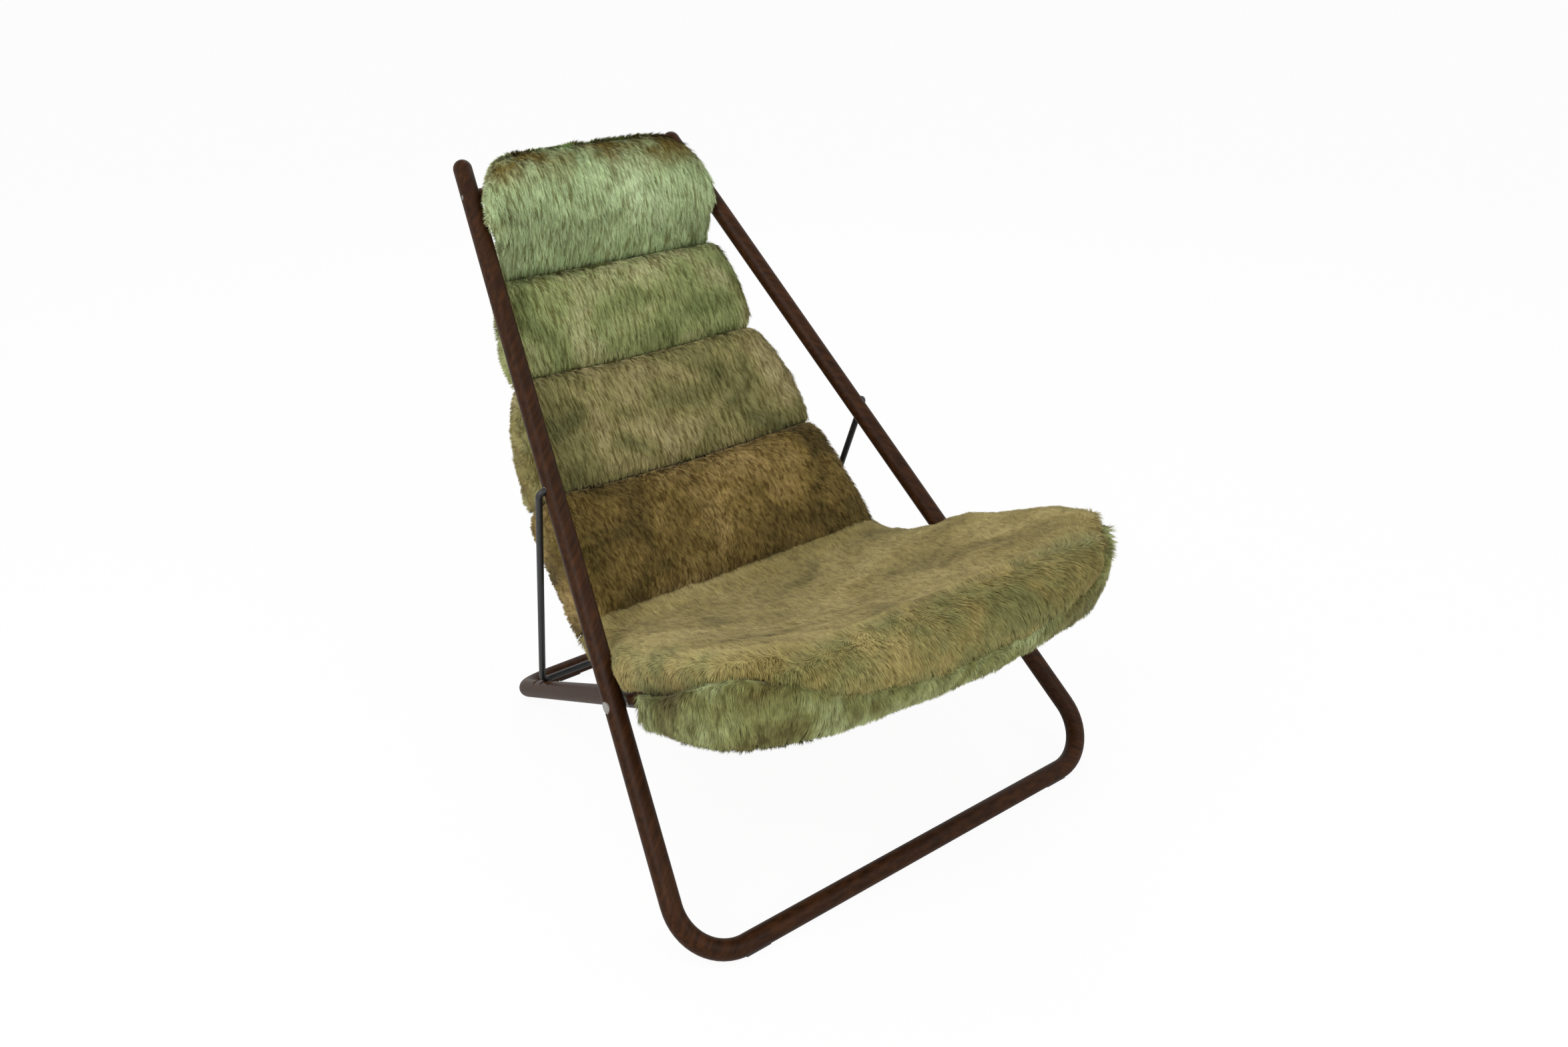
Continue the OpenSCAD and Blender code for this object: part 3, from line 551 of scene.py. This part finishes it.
def pile(pad, name, count, run, bare, length, lift, width, curl, gather):
    """Locks of fur over a pad's skin. run gives the way the fur lies, bare the places without it."""
    mesh = pad.data
    mesh.calc_loop_triangles()
    corners = np.zeros(len(mesh.loop_triangles) * 3, int)
    mesh.loop_triangles.foreach_get("vertices", corners)
    corners = corners.reshape(-1, 3)
    places = np.zeros(len(mesh.vertices) * 3)
    mesh.vertices.foreach_get("co", places)
    places = places.reshape(-1, 3)
    normals = np.zeros(len(mesh.vertices) * 3)
    mesh.vertices.foreach_get("normal", normals)
    normals = normals.reshape(-1, 3)
    a, b, c = places[corners[:, 0]], places[corners[:, 1]], places[corners[:, 2]]
    areas = np.linalg.norm(np.cross(b - a, c - a), axis=1) / 2
    middle, facing = (a + b + c) / 3, np.cross(b - a, c - a)
    facing /= np.linalg.norm(facing, axis=1)[:, None] + 1e-12
    areas[bare(middle, facing)] = 0
    count = min(int(count * areas.sum()), lock_limit)
    picks = fur_numbers.choice(len(areas), count, p=areas / areas.sum())
    u, v = fur_numbers.random(count), fur_numbers.random(count)
    over = u + v > 1
    u[over], v[over] = 1 - u[over], 1 - v[over]
    roots = a[picks] + u[:, None] * (b - a)[picks] + v[:, None] * (c - a)[picks]
    up = sum(normals[corners[picks, k]] * w[:, None] for k, w in enumerate((1 - u - v, u, v)))
    up /= np.linalg.norm(up, axis=1)[:, None]
    way = run(roots, up)
    way -= np.einsum("ij,ij->i", way, up)[:, None] * up
    way /= np.linalg.norm(way, axis=1)[:, None] + 1e-9
    across = np.cross(up, way)
    swirl = np.array([noise.noise(Vector(p) * 14) for p in roots]) * curl + fur_numbers.normal(0, 0.16, count)
    way = way * np.cos(swirl)[:, None] + across * np.sin(swirl)[:, None]
    across = np.cross(up, way)
    long = length * (0.7 + 0.6 * fur_numbers.random(count))
    puff = np.array([noise.noise(Vector(p) * 38 + Vector((5, 3, 1))) for p in roots])
    high = lift * (0.75 + 0.9 * puff + 0.5 * fur_numbers.random(count)).clip(0.25, 2)
    tips = roots + way * long[:, None] + up * high[:, None]
    tree = kdtree.KDTree(count // locks_to_a_leader + 1)
    leaders = np.arange(0, count, locks_to_a_leader)
    for k in leaders:
        tree.insert(roots[k], int(k))
    tree.balance()
    lead = np.array([tree.find(p)[1] for p in roots])
    near = np.linalg.norm(roots - roots[lead], axis=1) < 0.02
    tips[near] = tips[near] * (1 - gather) + tips[lead[near]] * gather
    wide = (width * (0.7 + 0.6 * fur_numbers.random(count)))[:, None] / 2
    base = roots - up * 0.0012
    points = np.stack([base + across * wide, base - across * wide, tips], 1).reshape(-1, 3)
    fur = bpy.data.meshes.new(name)
    fur.vertices.add(count * 3)
    fur.vertices.foreach_set("co", points.ravel())
    fur.loops.add(count * 3)
    fur.loops.foreach_set("vertex_index", np.arange(count * 3))
    fur.polygons.add(count)
    fur.polygons.foreach_set("loop_start", np.arange(count) * 3)
    fur.update(calc_edges=True)
    fur.validate()
    root_share = fur.attributes.new("root_to_tip", "FLOAT", "POINT")
    root_share.data.foreach_set("value", np.tile(np.array([0, 0, 1.0], np.float32), count))
    shade = fur.attributes.new("lock_shade", "FLOAT", "POINT")
    own_tint = fur_numbers.random(count) * 0.6
    tint = own_tint + fur_numbers.random(len(leaders))[np.searchsorted(leaders, lead)] * 0.4
    shade.data.foreach_set("value", np.repeat(tint, 3).astype(np.float32))
    side = int(math.ceil(math.sqrt(count)))
    cell_u, cell_v = np.arange(count) % side, np.arange(count) // side
    lay = np.array([[0.15, 0.1], [0.85, 0.1], [0.5, 0.9]])
    flat = (np.stack([cell_u, cell_v], 1)[:, None, :] + lay[None]) / side
    fur.uv_layers.new(name="OFBake").data.foreach_set("uv", flat.astype(np.float32).ravel())
    for face in fur.polygons:
        face.use_smooth = True
    soft_way = up + way * 0.25 + fur_numbers.normal(0, 0.10, (count, 3))
    soft_way /= np.linalg.norm(soft_way, axis=1)[:, None]
    fur.normals_split_custom_set_from_vertices(np.repeat(soft_way, 3, axis=0))
    piece = bpy.data.objects.new(name, fur)
    bpy.context.scene.collection.objects.link(piece)
    return piece


def fur_finish(name, tones, streak, parting_shade_share, edge, crest, edge_tone, on_locks):
    """Soft fur: patches of tone, painted shade in thin dark partings along the lie of the fur, and on the
    locks painted light and shade, darker at the root and paler at the tip.
    """
    coat = bpy.data.materials.new(name)
    coat.use_nodes = True
    tree = coat.node_tree
    shader = tree.nodes["Principled BSDF"]
    link = tree.links.new
    place = tree.nodes.new("ShaderNodeTexCoord")
    patches = tree.nodes.new("ShaderNodeTexNoise")
    patches.inputs["Scale"].default_value = 9
    patches.inputs["Detail"].default_value = 5
    patches.inputs["Distortion"].default_value = 0.8
    tone_ramp = tree.nodes.new("ShaderNodeValToRGB")
    tone_ramp.color_ramp.elements[0].position = 0.34
    tone_ramp.color_ramp.elements[0].color = (*tones[0], 1)
    tone_ramp.color_ramp.elements[1].position = 0.66
    tone_ramp.color_ramp.elements[1].color = (*tones[2], 1)
    tone_middle = tone_ramp.color_ramp.elements.new(0.5)
    tone_middle.color = (*tones[1], 1)
    stretch = tree.nodes.new("ShaderNodeMapping")
    stretch.inputs["Scale"].default_value = streak
    # Painted shade: thin dark streaks along the lie of the fur, multiplied into the colour where the pile
    # parts.
    partings = tree.nodes.new("ShaderNodeTexNoise")
    partings.inputs["Scale"].default_value = 1
    partings.inputs["Detail"].default_value = 4
    partings.inputs["Distortion"].default_value = 0.4
    parting_shade_ramp = tree.nodes.new("ShaderNodeValToRGB")
    parting_shade_ramp.color_ramp.elements[0].position = 0.36
    parting_shade_ramp.color_ramp.elements[0].color = (0.36, 0.31, 0.20, 1)
    parting_shade_ramp.color_ramp.elements[1].position = 0.56
    parting_shade_ramp.color_ramp.elements[1].color = (1, 1, 1, 1)
    parting_shade_mix = tree.nodes.new("ShaderNodeMix")
    parting_shade_mix.data_type = "RGBA"
    parting_shade_mix.blend_type = "MULTIPLY"
    parting_shade_mix.inputs["Factor"].default_value = parting_shade_share
    sides = tree.nodes.new("ShaderNodeSeparateXYZ")
    from_middle = tree.nodes.new("ShaderNodeMath")
    from_middle.operation = "ABSOLUTE"
    to_edge = tree.nodes.new("ShaderNodeMapRange")
    to_edge.interpolation_type = "SMOOTHSTEP"
    to_edge.inputs["From Min"].default_value = edge[0]
    to_edge.inputs["From Max"].default_value = edge[1]
    to_edge.inputs["To Max"].default_value = edge[2]
    to_crest = tree.nodes.new("ShaderNodeMapRange")
    to_crest.interpolation_type = "SMOOTHSTEP"
    to_crest.inputs["From Min"].default_value = crest[1]
    to_crest.inputs["From Max"].default_value = crest[2]
    to_crest.inputs["To Max"].default_value = crest[3]
    either = tree.nodes.new("ShaderNodeMath")
    either.operation = "MAXIMUM"
    broken = tree.nodes.new("ShaderNodeMath")
    broken.operation = "MULTIPLY"
    golden = tree.nodes.new("ShaderNodeMix")
    golden.data_type = "RGBA"
    # On the skin under the locks the edge tone is ×0.6, painted shade between the locks.
    golden.inputs["B"].default_value = (*[c * (1 if on_locks else 0.6) for c in edge_tone], 1)
    spots = tree.nodes.new("ShaderNodeTexNoise")
    spots.inputs["Scale"].default_value = 16
    spots.inputs["Detail"].default_value = 4
    spot_range = tree.nodes.new("ShaderNodeMapRange")
    spot_range.inputs["From Min"].default_value = 0.38
    spot_range.inputs["From Max"].default_value = 0.62
    link(place.outputs["Object"], sides.inputs[0])
    link(sides.outputs["X"], from_middle.inputs[0])
    link(from_middle.outputs[0], to_edge.inputs["Value"])
    link(sides.outputs[crest[0]], to_crest.inputs["Value"])
    link(to_edge.outputs["Result"], either.inputs[0])
    link(to_crest.outputs["Result"], either.inputs[1])
    link(place.outputs["Object"], spots.inputs["Vector"])
    link(spots.outputs["Fac"], spot_range.inputs["Value"])
    link(either.outputs[0], broken.inputs[0])
    link(spot_range.outputs["Result"], broken.inputs[1])
    link(broken.outputs[0], golden.inputs["Factor"])
    link(tone_ramp.outputs["Color"], golden.inputs["A"])
    link(place.outputs["Object"], patches.inputs["Vector"])
    link(patches.outputs["Fac"], tone_ramp.inputs["Fac"])
    link(place.outputs["Object"], stretch.inputs["Vector"])
    link(stretch.outputs[0], partings.inputs["Vector"])
    link(partings.outputs["Fac"], parting_shade_ramp.inputs["Fac"])
    link(golden.outputs["Result"], parting_shade_mix.inputs["A"])
    link(parting_shade_ramp.outputs["Color"], parting_shade_mix.inputs["B"])
    last = parting_shade_mix.outputs["Result"]
    if on_locks:
        along = tree.nodes.new("ShaderNodeAttribute")
        along.attribute_name = "root_to_tip"
        lock = tree.nodes.new("ShaderNodeAttribute")
        lock.attribute_name = "lock_shade"
        # Painted light and shade along each lock: ×0.78 at the shaded root up to ×1.16 at the lit tip.
        lock_root_shade = tree.nodes.new("ShaderNodeMapRange")
        lock_root_shade.inputs["To Min"].default_value = 0.78
        lock_root_shade.inputs["To Max"].default_value = 1.16
        each = tree.nodes.new("ShaderNodeMapRange")
        each.inputs["To Min"].default_value = 0.84
        each.inputs["To Max"].default_value = 1.16
        both = tree.nodes.new("ShaderNodeMath")
        both.operation = "MULTIPLY"
        shaded = tree.nodes.new("ShaderNodeMix")
        shaded.data_type = "RGBA"
        shaded.blend_type = "MULTIPLY"
        shaded.inputs["Factor"].default_value = 1
        link(along.outputs["Fac"], lock_root_shade.inputs["Value"])
        link(lock.outputs["Fac"], each.inputs["Value"])
        link(lock_root_shade.outputs["Result"], both.inputs[0])
        link(each.outputs["Result"], both.inputs[1])
        link(last, shaded.inputs["A"])
        link(both.outputs[0], shaded.inputs["B"])
        last = shaded.outputs["Result"]
    link(last, shader.inputs["Base Color"])
    shader.inputs["Roughness"].default_value = 0.85
    shader.inputs["Specular IOR Level"].default_value = 0.06
    shader.inputs["Sheen Weight"].default_value = 0.05
    shader.inputs["Sheen Roughness"].default_value = 0.6
    return coat


down_back = np.array([0.0, -math.sin(lean) * 0.75, -math.cos(lean)])


def lies_down(points, up):
    """Down the front of the back; round the sides and over the top it sweeps away to the rear."""
    front = np.clip((up @ np.array([0, -math.cos(lean), math.sin(lean)]) - 0.15) * 2.5, 0, 1)[:, None]
    down = down_back + np.stack([points[:, 0] * 0.5, points[:, 1] * 0, points[:, 0] * 0], 1)
    return front * down + (1 - front) * np.array([0, 0.8, -0.45])


def lies_over_seat(points, up):
    """Towards the crease on the seat's top, forward and down over its front edge and its sides."""
    front = np.clip(0.25 - 4 * up[:, 1], 0, 1)[:, None]
    steep = np.clip(1.2 - 1.6 * up[:, 2], 0, 1)[:, None]
    back = np.stack([points[:, 0] * 0.9, np.ones(len(points)), np.zeros(len(points))], 1)
    ahead = np.stack([points[:, 0] * 1.1, -np.ones(len(points)), -0.4 * np.ones(len(points))], 1)
    return (front * ahead + (1 - front) * back) * (1 - steep) + steep * np.array([0, -0.15, -1])


def lies_over_edge(points, up):
    return np.stack([points[:, 0] * 0.8, points[:, 1] * 0 - 0.25, -np.ones(len(points))], 1)


def behind_the_back(middle, facing):
    return (facing @ np.array([0, math.cos(lean), -math.sin(lean)]) > 0.15) & (abs(middle[:, 0]) < 0.236)


def under_the_seat(middle, facing):
    return facing[:, 2] < -0.55


def inside_the_roll(middle, facing):
    return (facing[:, 2] > 0.75) & (middle[:, 1] > -0.02)


gold, sage_and_edge_shade, none = (0.24, 0.18, 0.04), (0.20, 0.205, 0.075), ("Z", 5, 6, 0)
pads = (
    ("head_pillow", "pillow", "front", lies_down, behind_the_back, 0.35, 0.35, 0.004, 4, 0.002,
     pillow_settles,
     ((0.32, 0.40, 0.20), (0.50, 0.63, 0.33), (0.66, 0.80, 0.47)), (290, 42, 42), 0.85,
     (0.14, 0.21, 0.5), ("Z", 0.795, 0.84, 1.0), gold, 0.8, None),
    ("back_panel_upper", "back_upper", "front", lies_down, behind_the_back, 0.4, 0.35, 0.004, 4, 0.002, stays,
     ((0.20, 0.25, 0.09), (0.37, 0.42, 0.17), (0.53, 0.53, 0.27)), (290, 42, 42), 0.85,
     (0.17, 0.23, 0.8), none, gold, 0.6, None),
    ("back_panel_middle", "back_middle", "front", lies_down, behind_the_back, 0.5, 0.4, 0.004, 4, 0.002,
     stays,
     ((0.17, 0.17, 0.065), (0.33, 0.30, 0.12), (0.48, 0.41, 0.20)), (290, 42, 42), 0.85,
     (0.19, 0.26, 0.7), none, gold, 0.6, ("fold", 0.87)),
    ("back_panel_lower", "back_lower", "front", lies_down, behind_the_back, 0.9, 0.5, 0.004, 4, 0.002, stays,
     ((0.12, 0.085, 0.025), (0.24, 0.165, 0.048), (0.38, 0.27, 0.10)), (200, 70, 70), 0.85,
     (0.2, 0.28, 0.4), none, gold, 0.6, ("fold", 0.87)),
    # On the seat the crest mix turns the front edge sage: partly the fur's greener colour, partly painted
    # shade darkening the front edge.
    ("seat_panel", "seat", "seat", lies_over_seat, under_the_seat, 0.5, 0.25, 0.005, 5, 0.0013, seat_settles,
     ((0.22, 0.175, 0.055), (0.345, 0.275, 0.095), (0.43, 0.35, 0.135)), (190, 60, 110), 0.5,
     (0.29, 0.33, 0.9), ("Y", 0.0, -0.06, 0.9), sage_and_edge_shade, 0.6, ("seat_hinge", 0.83)),
    # The roll's tones are partly its own sage colour and partly painted shade: darkened for the weaker light
    # on the low front roll.
    ("front_roll", "roll", "rear", lies_over_edge, inside_the_roll, 0.8, 0.45, 0.0035, 2, 0.002, roll_settles,
     ((0.13, 0.105, 0.03), (0.26, 0.27, 0.095), (0.42, 0.47, 0.22)), (90, 90, 36), 0.7,
     (0.3, 0.5, 0.0), none, gold, 0.6, ("fold", 0.6)),
)
for (node, name, body, run, bare, curl, gather, cell, rounds, rough, settle,
     tones, streak, parting_shade_share, edge, crest, edge_tone, fill, give) in pads:
    # The skin under the locks gets the tones ×0.75: painted shade seen between the locks.
    underfur_shade_tones = [[c * 0.75 for c in t] for t in tones]
    look = (streak, parting_shade_share, edge, crest, edge_tone)
    skin = stuffed_pad(node, name + "_pad", cell * (1), rounds, rough, settle, bare)
    skin.data.materials.clear()
    skin.data.materials.append(fur_finish(name + "_underfur", underfur_shade_tones, *look, False))
    locks_a_square_metre = 420000
    lock_width = 0.0024 if name == "seat" else 0.0016
    locks = pile(skin, name + "_fur", locks_a_square_metre, run, bare, lock_length, lock_lift,
                 lock_width, curl, gather)
    locks.data.materials.append(fur_finish(name + "_fur", tones, *look, True))
    for piece in (skin, locks):
        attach(piece, body)
        if give:
            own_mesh(piece)
    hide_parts(node)
